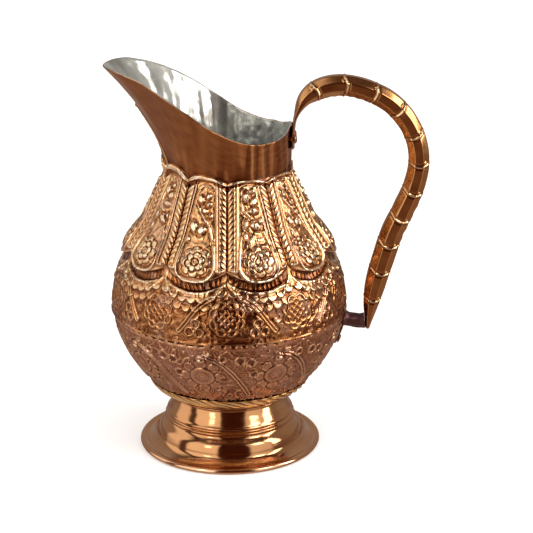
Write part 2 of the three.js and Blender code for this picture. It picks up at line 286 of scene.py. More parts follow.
def rosette(x, y, radius, petals):
    """Open flower of two layers of flat petals, each with a groove round it, and a ringed eye."""
    rho = np.hypot(x, y) / radius
    outer = round_petals(x, y, petals + 2, 0.72 * radius) / (0.31 * radius)
    inner = round_petals(x, y, petals, 0.41 * radius, 0.3) / (0.235 * radius)
    outer_layer = 0.45 * smoothstep(1.1, 0.8, outer) - 0.55 * ridge(outer - 1.12, 0.15)
    inner_layer = 0.85 * smoothstep(1.1, 0.7, inner) - 0.6 * ridge(inner - 1.14, 0.18)
    eye = 0.7 * ridge(rho - 0.15, 0.05) + 0.4 * dome(rho, 0.06) - 0.5 * ridge(rho - 0.26, 0.04)
    return np.where(rho < 0.28, eye, np.where(inner < 1.24, inner_layer, outer_layer))


def knot_rosette(x, y, radius):
    """Flower with a net of crossing curved lines inside two rings of pointed petals."""
    rho = np.hypot(x, y) / radius
    swirl = 5.6 * (1 - 0.3 * rho)
    falling = np.sin(math.pi * (x + y) / swirl)
    rising = np.sin(math.pi * (x - y) / swirl)
    net = np.maximum(ridge(falling, 0.3), ridge(rising, 0.3)) - 0.5
    middle = round_petals(x, y, 8, 0.5 * radius) / (0.27 * radius)
    border = round_petals(x, y, 8, 0.74 * radius, math.pi / 8) / (0.3 * radius)
    layers = np.where(middle < 1.15, ridge(middle - 0.95, 0.15) - 0.3, ridge(border - 0.95, 0.14) - 0.3)
    return np.where(rho < 0.5, net, layers * (rho < 1.06)) - 0.6 * ridge(rho - 1.1, 0.05)


def leaf(x, y, half_length, half_width, heading):
    """Plump leaf with a groove round it. heading is in degrees from the x direction."""
    c, s = math.cos(math.radians(heading)), math.sin(math.radians(heading))
    q = np.hypot((x * c + y * s) / half_length, (y * c - x * s) / half_width)
    return 1.15 * smoothstep(1.0, 0.5, q) - 0.5 * ridge(q - 1.25, 0.17)


def ring_leaf(x, y, radius):
    q = np.hypot(x, y)
    return 0.8 * ridge(q - 0.8 * radius, 0.2 * radius) - 0.7 * smoothstep(0.66 * radius, 0.4 * radius, q)


def crescent(x, y, radius):
    """Scale that stands out at its lower edge and sinks into the ground at its top."""
    q = np.hypot(x, y) / radius
    return smoothstep(1.08, 0.84, q) * (0.4 - 0.75 * np.clip(y / radius, -1, 1))


def punched_ground(x, y, pitch, depth):
    """Staggered field of small round punch marks."""
    row = np.round(y / (0.87 * pitch))
    shift = 0.5 * pitch * (row % 2)
    dx = from_nearest(x - shift, pitch)
    return -depth * dome(np.hypot(dx, y - 0.87 * pitch * row), 0.42 * pitch)


# ---- the vessel's surfaces

def profile_length(rows, heights):
    """Length along a profile of [height, radius] up to each height."""
    z = np.linspace(rows[0][0], heights.max(), 4000)
    r = through(rows, z)
    length = np.concatenate([[0], np.cumsum(np.hypot(np.diff(z), np.diff(r)))])
    return np.interp(heights, z, length)


def petal_bulge(turn, height):
    across = np.abs(from_nearest(turn, PETAL_PITCH)) / (PETAL_PITCH / 2)
    lift = 8 * across ** 2 * (1 - smoothstep(150, 170, height))
    return through(PETAL_BULGE, height - lift) * (1 - across ** 3)


def upper_surface(turn, height, inset):
    """Radius and height of the upper body's plain surface, before its relief."""
    angle = np.abs(turn)
    climb = np.maximum(0, (height - NECK_BASE_Z) / (JUG_HEIGHT - NECK_BASE_Z))
    flare = (through(RIM, angle, 1) - NECK_RADIUS) * climb ** NECK_FLARE_POWER
    radius = through(SHOULDER, height) - inset + petal_bulge(turn, height) + flare
    lifted = NECK_BASE_Z + (through(RIM, angle, 2) - NECK_BASE_Z) * climb
    return radius, np.where(climb > 0, lifted, height)


def on_axis(turn, radius, height):
    """Grid of points from turns in degrees, radii and heights."""
    a = np.radians(turn)
    return np.stack(np.broadcast_arrays(-radius * np.cos(a), -radius * np.sin(a), height), -1)


def outward(points):
    """Unit normals of a grid of points whose rows run round the axis."""
    along = np.gradient(points, axis=0)
    around = np.roll(points, -1, axis=1) - np.roll(points, 1, axis=1)
    normal = np.cross(around, along)
    return normal / np.maximum(np.linalg.norm(normal, axis=-1, keepdims=True), 1e-9)


def divider_relief(side, length):
    """Herringbone rope between two plain lines. side is the distance from the divider's middle."""
    strokes = np.abs(np.cos(math.pi * (length - 0.9 * side) / 4.0)) ** 0.55
    column = dome(side - 3.0, 2.75)
    rope = column * (0.3 + 0.7 * strokes)
    return rope + 0.6 * ridge(side - 6.9, 0.7) - 0.55 * ridge(side, 0.5) - 0.35 * ridge(side - 5.9, 0.4)


# What grows in a petal above its rosette, in two designs that take turns: a stem as [across, height], and
# its leaves as [across, height, half length, half width, heading in degrees]
STEMS = [
    [[4.6, 204.6], [1.6, 206.8], [-1.8, 206.6], [-4.8, 203.6], [-5.6, 199.5], [-4.6, 194], [0.7, 186.7],
     [6, 179.5], [10, 171]],
    [[-5.4, 205], [-6.2, 198.5], [-5.2, 190.5], [0.3, 185], [6.4, 177.5], [10.6, 168]],
]
STEM_LEAVES = [
    [[-2.6, 197.4, 3.3, 2.4, 120], [2.6, 199.2, 2.4, 1.7, 60], [3.9, 194.4, 2.4, 1.8, 20],
     [1.4, 190.4, 2.5, 1.8, -30], [-5.6, 180, 4.2, 3.0, 110], [0.6, 178.2, 3.9, 3.0, 60],
     [-9.2, 172.4, 2.8, 2.0, 120], [6.6, 187.4, 2.4, 1.6, 40]],
    [[-1.9, 198.8, 3.8, 2.7, 100], [2.9, 195.8, 3.4, 2.5, 40], [1.7, 190.2, 3.2, 2.4, 10],
     [2.4, 180.6, 4.2, 3.0, 150], [7.6, 183.6, 3.2, 2.4, 30], [-4.6, 182, 3.1, 1.5, 80],
     [-5.8, 174.4, 3.1, 1.6, 80], [3.0, 202.4, 2.6, 1.8, 30]],
]
PETAL_ROSETTE_Z = 159.5
DIVIDER_HALF = 7.7
DIVIDER_FOOT_Z = 153.5

# Heights of a petal's lower and upper edges and of the lip, in its middle or at the dividers, and their bows
PANEL_LOW_Z = 146.2
PANEL_LOW_BOW = 7
PANEL_TOP_Z = 204.6
PANEL_TOP_BOW = 4.6
LIP_Z = 207.8
LIP_BOW = 6.4


def petal_panel_relief(turn, across, x, bottom, height, length, radius, length_at):
    """Chasing inside one petal: rounded lower rim, rosette, stem and leaves."""
    half = np.radians(PETAL_PITCH / 2) * radius - DIVIDER_HALF
    top = length_at(PANEL_TOP_Z + PANEL_TOP_BOW * (1 - across ** 2))
    edge = smooth_min(smooth_min(half - np.abs(x), bottom, 9), top - length, 6)
    inside = smoothstep(0, 0.8, edge)
    rim = 1.2 * ridge(edge - 1.0, 1.1) - 0.5 * ridge(edge - 2.8, 0.6)
    relief = rim * smoothstep(178, 160, height) - 0.4 * ridge(edge - 0.4, 0.5)
    y = length - length_at(PETAL_ROSETTE_Z)
    rho = np.hypot(x, y)
    relief = relief + rosette(x, y, 10.6, 6) * smoothstep(11.8, 11.2, rho)
    free = smoothstep(11.2, 12.2, rho) * smoothstep(1.8, 2.8, edge)
    is_odd = np.round(turn / PETAL_PITCH) % 2
    for design in (0, 1):
        stem = line_distance(x, length, [(sx, float(length_at(z))) for sx, z in STEMS[design]])
        plants = 0.8 * ridge(stem, 0.7) - 0.4 * ridge(stem - 1.4, 0.4)
        for lx, z, half_length, half_width, heading in STEM_LEAVES[design]:
            shape = leaf(x - lx, length - float(length_at(z)), half_length, half_width, heading)
            plants = np.where(np.abs(shape) > 0.15, shape, plants)
        relief = relief + (is_odd == design) * free * plants
    beaten = ripples(8, np.radians(turn) * 62, length, (3, 7), 20)
    tooled = ridge(np.sin(2.3 * ripples(13, np.radians(turn) * 62, length, (9, 18), 12)), 0.2)
    return inside * (relief + 0.08 * beaten - 0.16 * tooled * free)


def shoulder_relief(turn, height, length, radius, length_at):
    """Petals, dividers, the scalloped lip above them and the undercut below them."""
    offset = from_nearest(turn, PETAL_PITCH)
    across = np.abs(offset) / (PETAL_PITCH / 2)
    side = np.radians(PETAL_PITCH / 2 - np.abs(offset)) * radius
    x = np.radians(offset) * radius
    lip = length_at(LIP_Z + LIP_BOW * (1 - across ** 3)) - length
    bottom = length - length_at(PANEL_LOW_Z + PANEL_LOW_BOW * across ** 2)
    in_zone = smoothstep(0, 1.2, lip) * smoothstep(-0.6, 0.4, bottom)
    above_foot = smoothstep(-0.5, 0.5, length - length_at(DIVIDER_FOOT_Z))
    divider = divider_relief(side, length) * (side < DIVIDER_HALF) * above_foot
    feet = 1.2 * ridge(side - 4.6, 2.0) * ridge(length - length_at(DIVIDER_FOOT_Z + 0.1), 1.1)
    panel = petal_panel_relief(turn, across, x, bottom, height, length, radius, length_at)
    relief = in_zone * (divider + panel) + feet
    flare_out = 0.75 + 0.6 * smoothstep(0.1, 0.6, across) - 0.5 * smoothstep(0.75, 1, across)
    hollow_under = 0.45 + 0.75 * smoothstep(0.3, 0.8, across)
    band = smoothstep(2.8, 1.2, np.abs(lip + 0.5))
    relief = relief + 1.45 * flare_out * band - 1.15 * hollow_under * ridge(lip - 4.3, 1.6)
    relief = relief + 0.7 * ridge(bottom - 0.9, 0.9) * (1 - across ** 4)
    hollow = smoothstep(0, 1.2, -bottom) * (1 - smoothstep(5.6, 7.4, -bottom))
    ribs = np.abs(np.cos(math.pi * x / 3.4 + 1.1 * ripples(14, np.radians(turn) * 75, length, (8, 22), 10)))
    depth = 1 - across ** 3
    rolled = 0.6 * ridge(bottom + 8.2, 1.2) * depth
    return relief + rolled - hollow * depth * (2.1 - 0.55 * ribs)


# Between the undercut and the seam, beside every second knot rosette: half of the pair of stems, and one of
# the two trefoils, as [across, height]
STEM_HALF = [[9.5, 137], [15, 134.5], [20, 130.5], [24, 126], [28.5, 120], [34, 113.5]]
TREFOIL = [[21.9, 119.6], [19.6, 113.4], [26.4, 113.8]]
BELLY_ROSETTE_Z = 123.5


def belly_relief(turn, length, radius, length_at):
    """Chasing between the undercut and the seam: knot rosettes under the dividers, stems and crescents."""
    from_divider = turn - PETAL_PITCH / 2
    x = np.radians(from_nearest(from_divider, PETAL_PITCH)) * radius
    y = length - length_at(BELLY_ROSETTE_Z)
    rho = np.hypot(x, y)
    flower = knot_rosette(x, y, 12)
    mirrored = np.abs(np.radians(from_nearest(from_divider, 2 * PETAL_PITCH)) * radius)
    stem = line_distance(mirrored, length, [(sx, float(length_at(sz))) for sx, sz in STEM_HALF])
    stems = ridge(stem - 1.1, 0.6) - 0.6 * ridge(stem, 0.5) - 0.4 * ridge(stem - 2.4, 0.5)
    leaves = 0
    for lx, lz in TREFOIL:
        leaves = leaves + 1.1 * ring_leaf(mirrored - lx, length - length_at(lz), 3.6)
    px = np.radians(from_nearest(turn, PETAL_PITCH)) * radius
    collar = 0
    for row_z, size, count in ((136, 3.5, 3.0), (130, 3.3, 2.5)):
        for k in np.arange(-count, count + 1):
            z = row_z + 0.5 * k * k
            collar = collar + crescent(px - 6.7 * k, length - length_at(z), size)
    near_x = np.abs(x)
    apex = [(0, length_at(150.5)), (2.5, length_at(144)), (9, length_at(137.5))]
    junction = line_distance(near_x, length, apex)
    wander = ripples(9, np.radians(turn) * 82, length, (9, 22), 12)
    scrolls = ridge(np.sin(2.6 * wander), 0.26)
    beaten = ripples(10, np.radians(turn) * 82, length, (3.4, 8), 20)
    taken = np.clip(np.abs(collar) * 2 + ridge(stem, 2.2) + (rho < 13.4) + np.abs(leaves), 0, 1)
    relief = flower * (rho < 13.4) + (rho > 12.6) * stems + leaves + 1.5 * collar + ridge(junction, 0.9)
    return 0.64 * relief + (1 - taken) * (0.13 * beaten + 0.36 * scrolls - 0.3)


def spout_relief(turn, height, radius):
    """Pointed leaf that climbs the front of the spout from the petals' lip."""
    x = np.abs(np.radians(turn) * radius)
    climb = np.clip((height - 208) / 46, 0, 1)
    edge = 21 * (1 - climb ** 1.4) - x
    inside = smoothstep(-0.4, 0.6, edge) * smoothstep(211, 214, height) * (climb < 1)
    lines = 1.3 * ridge(edge - 1.0, 0.8) + 0.9 * ridge(edge - 3.4, 0.6) - 0.6 * ridge(edge - 2.2, 0.4)
    vein = 0.9 * ridge(x, 0.7)
    leaflets = 0.8 * np.abs(np.cos(math.pi * (height - 0.9 * x) / 5.5)) * smoothstep(4.4, 5.4, edge)
    return inside * (lines + vein + leaflets * (x > 1) - 0.2)


def make_rows(spans):
    """Heights from [start, end, count] spans, without doubling the joints."""
    parts = [np.linspace(a, b, n, endpoint=False) for a, b, n in spans]
    return np.concatenate([*parts, [spans[-1][1]]])


def make_upper_body(materials):
    height = make_rows([[SEAM_Z, 150, 104], [150, 215, 160], [215, JUG_HEIGHT, 70]])[:, None]
    turn = full_turn(BODY_COLUMNS)
    def length_at(z):
        return profile_length(SHOULDER, np.asarray(z, float))
    length = length_at(height)
    radius, lifted = upper_surface(turn, height, 0)
    ornament = smoothstep(SEAM_Z + 0.8, SEAM_Z + 1.8, height)
    belly_zone = 1 - smoothstep(140, 152, height)
    relief = shoulder_relief(turn, height, length, radius, length_at)
    relief = relief + ornament * belly_zone * belly_relief(turn, length, radius, length_at)
    relief = relief + spout_relief(turn, height, radius)
    plain = smoothstep(212, 218, height)
    flutes = ripples(5, np.radians(turn) * NECK_RADIUS, lifted * 0.1, (5, 14), 14)
    dents = ripples(6, np.radians(turn) * radius, length, (7, 15), 16)
    pulled = plain * smoothstep(30, 75, np.abs(turn))
    relief = relief + 0.27 * pulled * flutes + (1 - 0.5 * plain) * 0.06 * dents
    wobble = ripples(7, np.radians(turn) * 80, 0, (9, 40), 12)
    lap_edge = 1 - smoothstep(SEAM_Z, SEAM_Z + 1.1, height)
    relief = relief + lap_edge * (0.3 + 0.15 * wobble)
    points = on_axis(turn, radius, lifted)
    normal = outward(points)
    points[:, :, 2] += lap_edge * 0.35 * wobble
    skin = points + normal * relief[..., None]
    under = points + normal * (lowest_near(relief, 3) - SKIN)[..., None]
    rim = over_edge(skin[-1], under[-1], 5)
    make_upper_lining(under, normal, materials)
    under = under[::-4]
    shell = np.concatenate([skin, rim, under])
    # Painted light in the tone: the petals are painted lighter with painted shade beside the dividers, the
    # plain neck is painted darker, and the belly is painted darker with its highlights toned down.
    petals = smoothstep(148, 156, height) * (1 - plain)
    belly_painted_shade = smoothstep(140, 128, height)
    from_divider = np.radians(PETAL_PITCH / 2 - np.abs(from_nearest(turn, PETAL_PITCH))) * radius
    tone = patina_and_painted_light(relief) + petals * (0.09 - 0.16 * ridge(from_divider, 3.4)) - 0.13 * plain
    tone = np.clip(tone - belly_painted_shade * (0.1 + 0.3 * np.clip(tone - 0.5, 0, 1)), 0, 1)
    tones = np.concatenate([tone, np.full((len(rim), BODY_COLUMNS), 0.4), np.full(under.shape[:2], 0.5)])
    add_grid("upper_body_skin", shell, materials["chased"], ["upper_body"], tones)


def over_edge(outer, inner, steps):
    """Rounded upper edge between the last row of an outer face and that of an inner face."""
    middle = (outer + inner) / 2
    half = (outer - inner) / 2
    rise = np.linalg.norm(half, axis=-1, keepdims=True) * np.array([0, 0, 1.0])
    angles = np.linspace(0, math.pi, steps + 2)[1:-1]
    return np.array([middle + half * math.cos(a) + rise * math.sin(a) for a in angles])


def patina_and_painted_light(relief):
    """Tone from the relief, 0 in the hollows, 0.5 on open ground and 1 on raised edges: the dark hollows are
    partly patina and partly painted shade, and the pale raised edges are painted highlights.
    """
    near = soften(soften(relief, 3), 3)
    wide = soften(soften(relief, 9), 9)
    return np.clip(0.5 + 0.42 * (relief - near) + 0.28 * (relief - wide), 0, 1)


def make_upper_lining(under, normal, materials):
    """Tin on the inside of the skin, from just below the rim down to the seam."""
    rows = np.append(np.arange(0, len(under) - 1, 2), len(under) - 1)
    normal = normal[rows, ::2]
    outer = under[rows, ::2] - 0.02 * normal
    turn = full_turn(outer.shape[1])
    rise = outer[..., 2]
    hammered = ripples(11, np.radians(turn) * 50, rise, (6, 13), 22)
    planes = ripples(12, np.radians(turn) * 50, rise, (14, 30), 10)
    depth = SHEET - SKIN + 0.1 + 0.09 * hammered + 0.1 * planes
    inner = outer - normal * depth[..., None]
    shell = np.concatenate([outer, inner[::-1]])
    wiped = ripples(15, np.radians(turn) * 50, rise * 0.25, (4, 16), 18)
    stains = ripples(16, np.radians(turn) * 50, rise, (10, 34), 14)
    around = np.abs(turn)
    # Painted light on the tin: painted shade near the spout's tip and in a band near 84 degrees, and painted
    # highlights towards the handle's side and in a band near 58 degrees. The wiped streaks and stains are
    # patina.
    painted_light_bands = 0.28 * (1 - smoothstep(8, 24, around)) + 0.26 * ridge(around - 84, 7)
    painted_light_bands = painted_light_bands - 0.22 * smoothstep(94, 104, around) - 0.12 * ridge(around - 58, 14)
    tone = np.clip(0.5 + 0.1 * wiped - 0.08 * smoothstep(0.3, 1.2, stains) - painted_light_bands, 0, 1)
    tones = np.concatenate([tone, tone[::-1]])
    add_grid("upper_tin_lining", shell, materials["tin"], [], tones)


# ---- lower bowl

BOWL_BY_HEIGHT = [[height, radius] for radius, height in BOWL[1:]]


def bowl_radius(height):
    return through(BOWL_BY_HEIGHT, height)


def bowl_normal(height):
    slope = bowl_radius(height + 1) - bowl_radius(height - 1)
    size = math.hypot(2, slope)
    return 2 / size, -slope / size


BOWL_FLOWERS = 9
BOWL_PITCH = 360 / BOWL_FLOWERS
FIRST_FLOWER = 76.5
BOWL_STEM = [[-12, 95.5], [-5, 93], [3, 87.5], [9, 81], [14, 74], [18, 67], [21, 60]]
BOWL_LEAVES = [[22, 92, 4.2], [29.5, 90.5, 4], [32, 80, 3.8], [-19, 72, 3.8], [9.5, 93.5, 3.2]]


def bowl_relief(turn, height, length, radius, length_at):
    """Shallow chasing on the lower bowl: ringed flowers, stems, leaves and crescents."""
    from_flower = turn - FIRST_FLOWER
    x = np.radians(from_nearest(from_flower, BOWL_PITCH)) * radius
    xb = np.radians(from_nearest(from_flower - BOWL_PITCH / 2, BOWL_PITCH)) * radius
    y = length - length_at(78)
    rho = np.hypot(x, y)
    petals = round_petals(x, y, 8, 12.2)
    flower = 0.35 * ridge(rho - 7.6, 0.7) - 0.6 * ridge(rho - 9.0, 0.55) + 0.2 * dome(rho, 7)
    pecked = ripples(25, x, y, (1.8, 4), 14)
    flower = flower - (0.3 * ridge(rho - 4.6, 0.5) + 0.07 + 0.07 * pecked) * (rho < 7) + 0.3 * dome(rho, 1.8)
    flower = flower + (rho > 9.4) * (0.4 * ridge(petals - 3.3, 0.6) - 0.4 * ridge(petals - 4.3, 0.5))
    bud_y = length - length_at(92.5)
    bud = 0.9 * dome(np.hypot(x, bud_y), 3.2) - 0.6 * ridge(np.hypot(x, bud_y) - 4.0, 0.5)
    moon = 1.2 * crescent(x - 5.5, length - length_at(99), 3.0)
    stem_line = [(sx - 14, float(length_at(sz))) for sx, sz in BOWL_STEM]
    stem = line_distance(xb, length, stem_line)
    stems = 0.6 * ridge(stem - 1.1, 0.5) - 0.55 * ridge(stem, 0.45) - 0.3 * ridge(stem - 2.3, 0.5)
    leaves = 0
    for lx, lz, size in BOWL_LEAVES:
        leaves = leaves + 0.6 * ring_leaf(xb - lx + 22, length - length_at(lz), size)
    fern = line_distance(xb, length, [(-16, length_at(84)), (-12, length_at(76)), (-13, length_at(66))])
    scrolls = 0.4 * np.cos(math.pi * length / 2.4) * ridge(fern, 2.6)
    taken = np.clip((rho < 14) + ridge(stem, 2.4) + np.abs(leaves) + np.abs(bud), 0, 1)
    dots = punched_ground(np.radians(turn) * 76, length, 2.6, 0.12)
    wander = ripples(24, np.radians(turn) * 76, length, (10, 24), 12)
    curls = ridge(np.sin(3.4 * wander), 0.28)
    ground = dots + 0.6 * curls - 0.2
    relief = flower + (rho > 13) * (bud + moon + stems + leaves + scrolls) + (1 - taken) * ground
    zone = smoothstep(51, 54, height) * (1 - smoothstep(SEAM_Z - 5, SEAM_Z - 3.5, height))
    notch = np.radians(turn) * 82
    dash = smoothstep(-0.2, 0.5, np.cos(2 * math.pi * notch / 7.4) + 0.5 * ripples(21, notch, 0, (15, 60), 8))
    shadow = ridge(height - SEAM_Z + 1.0, 1.2) * dash
    return 1.1 * zone * relief - 1.4 * shadow


def make_lower_bowl(materials):
    low_r, low_z = np.array(smooth_curve(BOWL[:4], 10)).T
    z = np.linspace(BOWL[3][1], SEAM_Z + LAP, 190)
    r = np.concatenate([low_r[1:-1], bowl_radius(z)])
    z = np.concatenate([low_z[1:-1], z])
    walked = np.concatenate([[0], np.cumsum(np.hypot(np.diff(r), np.diff(z)))])
    def length_at(height):
        return np.interp(height, z, walked)
    turn = full_turn(BOWL_COLUMNS)
    height = z[:, None]
    radius = r[:, None]
    relief = bowl_relief(turn, height, walked[:, None], radius, length_at)
    dents = ripples(22, np.radians(turn) * 70, walked[:, None], (6, 14), 18)
    relief = relief + 0.05 * dents * smoothstep(44, 56, height)
    points = on_axis(turn, radius, height)
    normal = outward(points)
    skin = points + normal * relief[..., None]
    under = points + normal * (lowest_near(relief, 2) - SKIN)[..., None]
    edge = over_edge(skin[-1], under[-1], 3)
    under = under[::-3]
    shell = np.concatenate([skin, edge, under])
    # The bowl's tone is partly patina in the hollows, partly painted shade in the hollows and painted
    # highlights on raised edges.
    tones = np.concatenate([patina_and_painted_light(relief), np.full((3, BOWL_COLUMNS), 0.6), np.full(under.shape[:2], 0.5)])
    add_grid("lower_bowl_skin", shell, materials["bowl"], ["lower_bowl"], tones, poles=True)

    coarse = full_turn(240)
    plain = on_axis(coarse, r[::3, None], height[::3])
    inwards = -outward(plain)
    hammered = ripples(23, np.radians(coarse) * 60, walked[::3, None], (9, 18), 16)
    outer = plain + inwards * (SKIN + 1.1)
    inner = plain + inwards * (SHEET + 1.1 + 0.1 * hammered)[..., None]
    lining = np.concatenate([outer, inner[::-1]])
    add_grid("lower_tin_lining", lining, materials["tin"], [], poles=True)


# ---- rope ring and foot

def make_rope_ring(materials):
    turn = full_turn(1440)
    part = np.linspace(0, 1, 27)
    z = ROPE_LOW_Z + (ROPE_HIGH_Z - ROPE_LOW_Z) * part
    r = bowl_radius(z)
    slopes = np.array([bowl_normal(h) for h in z])
    phase = turn * ROPE_STRANDS / 360 + ROPE_SLANT * part[:, None]
    strand = np.abs(np.cos(math.pi * phase)) ** 0.8
    swell = np.sin(math.pi * part)[:, None] ** 0.55
    rise = 2 * GAP + swell * (0.4 + (ROPE_RISE - 0.4) * strand)
    seat = 2 * GAP * np.ones_like(rise)
    def lay(out, rows):
        radius = r[rows, None] + slopes[rows, 0][:, None] * out
        height = z[rows, None] + slopes[rows, 1][:, None] * out
        return on_axis(turn, radius, height)
    rows = np.arange(len(z))
    back = rows[1:-1:4][::-1]
    shell = np.concatenate([lay(rise, rows), lay(seat[back], back)])
    # Painted light on the rope: painted highlights on the strands' crests, strongest along the ring's middle,
    # and painted shade in the gaps between the strands.
    tone = np.clip(0.2 + 1.05 * strand * (0.35 + 0.65 * swell), 0, 1)
    tones = np.concatenate([tone, np.full((len(back), turn.size), 0.4)])
    add_grid("rope_ring", shell, materials["rope"], ["joint_rope_ring"], tones)


def around_wire(radius, start, end, count):
    turn = np.linspace(start, end, count) * 2 * math.pi
    return np.stack([WIRE_CENTRE[0] + radius * np.cos(turn), WIRE_CENTRE[1] + radius * np.sin(turn)], -1)


def make_foot(materials):
    outside = smooth_curve(FOOT_OUTSIDE[1:], 9)
    inside = smooth_curve(FOOT_INSIDE, 5)
    hem = around_wire(WIRE_RADIUS + GAP, 0.32, -0.25, 16)
    flat = np.array([FOOT_OUTSIDE[0], FOOT_OUTSIDE[1]])
    base = np.linspace(flat[0], flat[1], 5)[:-1]
    profile = np.concatenate([base, outside, inside, hem, [[HEM_INNER_RADIUS, HEM_LIP]]])
    turn = full_turn(PLAIN_COLUMNS)
    points = on_axis(turn, profile[:, :1], profile[:, 1:])
    # Painted highlight on the brim, strongest at the front and faint round the sides and back.
    brim_painted_highlight = smoothstep(54, 58, profile[:, :1]) * (0.15 + 0.85 * ridge(turn - 90, 40))
    add_grid("spun_foot", points, materials["foot"], ["foot"], brim_painted_highlight)


def make_foot_wire(materials):
    ring = around_wire(WIRE_RADIUS, 0, 1, 17)[:-1]
    points = on_axis(full_turn(PLAIN_COLUMNS), ring[:, :1], ring[:, 1:])
    add_grid("foot_hem_wire", points, materials["wire"], ["foot_edge_wire"])


# ---- handle, strut and rivets

def walk(line, count):
    """Even steps along a smooth curve in the XZ plane: positions, directions and distances."""
    curve = smooth_curve(line, 40)
    walked = np.concatenate([[0], np.cumsum(np.linalg.norm(np.diff(curve, axis=0), axis=1))])
    at = np.linspace(0, walked[-1], count)
    position = np.stack([np.interp(at, walked, curve[:, i]) for i in (0, 1)], -1)
    along = np.gradient(position, axis=0)
    return position, along / np.linalg.norm(along, axis=1, keepdims=True), at


def soft_polygon(angle, sides, sharpness):
    """Radius of a polygon with unit corners and rounded edges, with a flat side at angle 0."""
    total = 0
    for k in range(sides):
        total = total + np.maximum(np.cos(angle - 2 * math.pi * k / sides), 0) ** sharpness
    return math.cos(math.pi / sides) * total ** (-1 / sharpness)


def swept(line, count, columns, size_at, relief_at):
    """Closed sweep in the XZ plane. Columns start on the inside of the bend and turn towards the front."""
    position, along, at = walk(line, count)
    angle = full_circle(columns)
    fraction = (at / at[-1])[:, None]
    thick, wide = size_at(fraction)
    unit = soft_polygon(angle, HANDLE_SIDES, 44)
    relief = relief_at(fraction, at[:, None], angle, thick)
    inwards = np.cos(angle) * (unit * thick / 2 + relief)
    across = -np.sin(angle) * (unit * wide / 2 + relief)
    x = position[:, :1] + along[:, 1:] * inwards
    z = position[:, 1:] - along[:, :1] * inwards
    return np.stack(np.broadcast_arrays(x, across, z), -1), relief + 0 * angle


def handle_relief(fraction, at, angle, thick):
    """Bowed rings with a curl at their outer end, small scallops along the edges and hammer marks."""
    total = at[-1, 0]
    flank = np.abs(np.sin(angle)) ** 1.5
    outward_offset = -np.cos(angle) * thick / 2
    relief = 0 * angle
    for k in range(RING_COUNT):
        s = at - (FIRST_RING + RING_STEP * k) * total
        bow = s - 1.7 * (1 - (outward_offset / 6) ** 2)
        band = 0.8 * ridge(bow, 0.6) - 0.35 * ridge(bow - 1.4, 0.6) - 0.3 * ridge(bow + 1.4, 0.6)
        curl = np.hypot(s + 0.6, outward_offset - 5.0)
        relief = relief + band * (0.3 + 0.7 * flank) + 0.8 * flank * ridge(curl - 1.1, 0.45)
    for start, end, depth, side, pitch in ((0.17, 0.34, 0.35, 1, 6.5), (0.6, 0.77, 0.4, -1, 9)):
        here = smoothstep(start, start + 0.03, fraction) * (1 - smoothstep(end - 0.03, end, fraction))
        edge = np.maximum(side * np.cos(angle), 0) ** 8
        relief = relief + depth * here * edge * np.cos(2 * math.pi * at / pitch)
    marks = ripples(31, at, angle * 8, (9, 26), 14)
    flat_end = smoothstep(0.07, 0.16, fraction)
    return flat_end * (relief + 0.05 * marks)


def wrap_to_neck(points):
    """The flat tab follows the round neck."""
    is_tab = (points[..., 0] < 60) & (points[..., 2] > 200)
    hold = np.where(is_tab, 1 - smoothstep(236, 254, points[..., 2]), 0)
    y = np.clip(points[..., 1], -NECK_RADIUS, NECK_RADIUS)
    points[..., 0] -= hold * (NECK_RADIUS - np.sqrt(NECK_RADIUS ** 2 - y ** 2))
    return points


def make_handle(materials):
    def size_at(fraction):
        return through(HANDLE_SECTION, fraction, 1), through(HANDLE_SECTION, fraction, 2)
    points, relief = swept(HANDLE_LINE, 620, 112, size_at, handle_relief)
    # The handle's tone is partly patina in the hollows, partly painted shade in the hollows and painted
    # highlights on the rings and raised edges.
    add_grid("handle_bamboo_tube", wrap_to_neck(points), materials["handle"],
             ["handle_tube"], patina_and_painted_light(relief), ends=True)


def make_strut(materials):
    def size_at(fraction):
        flare = 2.4 * (1 - smoothstep(0, 0.3, fraction)) + 0.8 * smoothstep(0.8, 1, fraction)
        corner = 1 / math.cos(math.pi / HANDLE_SIDES)
        return corner * STRUT_THICK + flare, corner * STRUT_WIDE + 1.6 * flare
    def relief_at(fraction, at, angle, thick):
        return 0.12 * ripples(41, at, angle * 5, (5, 12), 10)
    bar, _ = swept(STRUT_LINE, 60, 64, size_at, relief_at)
    add_grid("strut_bar", bar, materials["strut"], ["handle_strut"], ends=True)

    middle_z = (PAD_LOW_Z + PAD_HIGH_Z) / 2
    half_high = (PAD_HIGH_Z - PAD_LOW_Z) / 2
    wrap_radius = bowl_radius(middle_z)
    around = full_circle(120)
    corner = (np.abs(np.cos(around)) ** 5 + np.abs(np.sin(around)) ** 5) ** -0.2
    face = GAP + PAD_THICK
    steps = [(0.02, GAP), (0.5, GAP), (0.97, GAP), (1, GAP + 0.3), (1, PAD_THICK), (0.96, face),
             (0.9, face + 0.05), (0.5, face + 0.15), (0.02, face + 0.2)]
    rings = []
    for scale, out in steps:
        height = middle_z + half_high * scale * corner * np.sin(around)
        turn = 180 + np.degrees(PAD_WIDE / 2 * scale * corner * np.cos(around) / wrap_radius)
        rings.append(on_axis(turn, bowl_radius(height) + out, height)[0])
    add_grid("strut_pad", np.array(rings), materials["strut"], ["handle_strut"], ends=True)


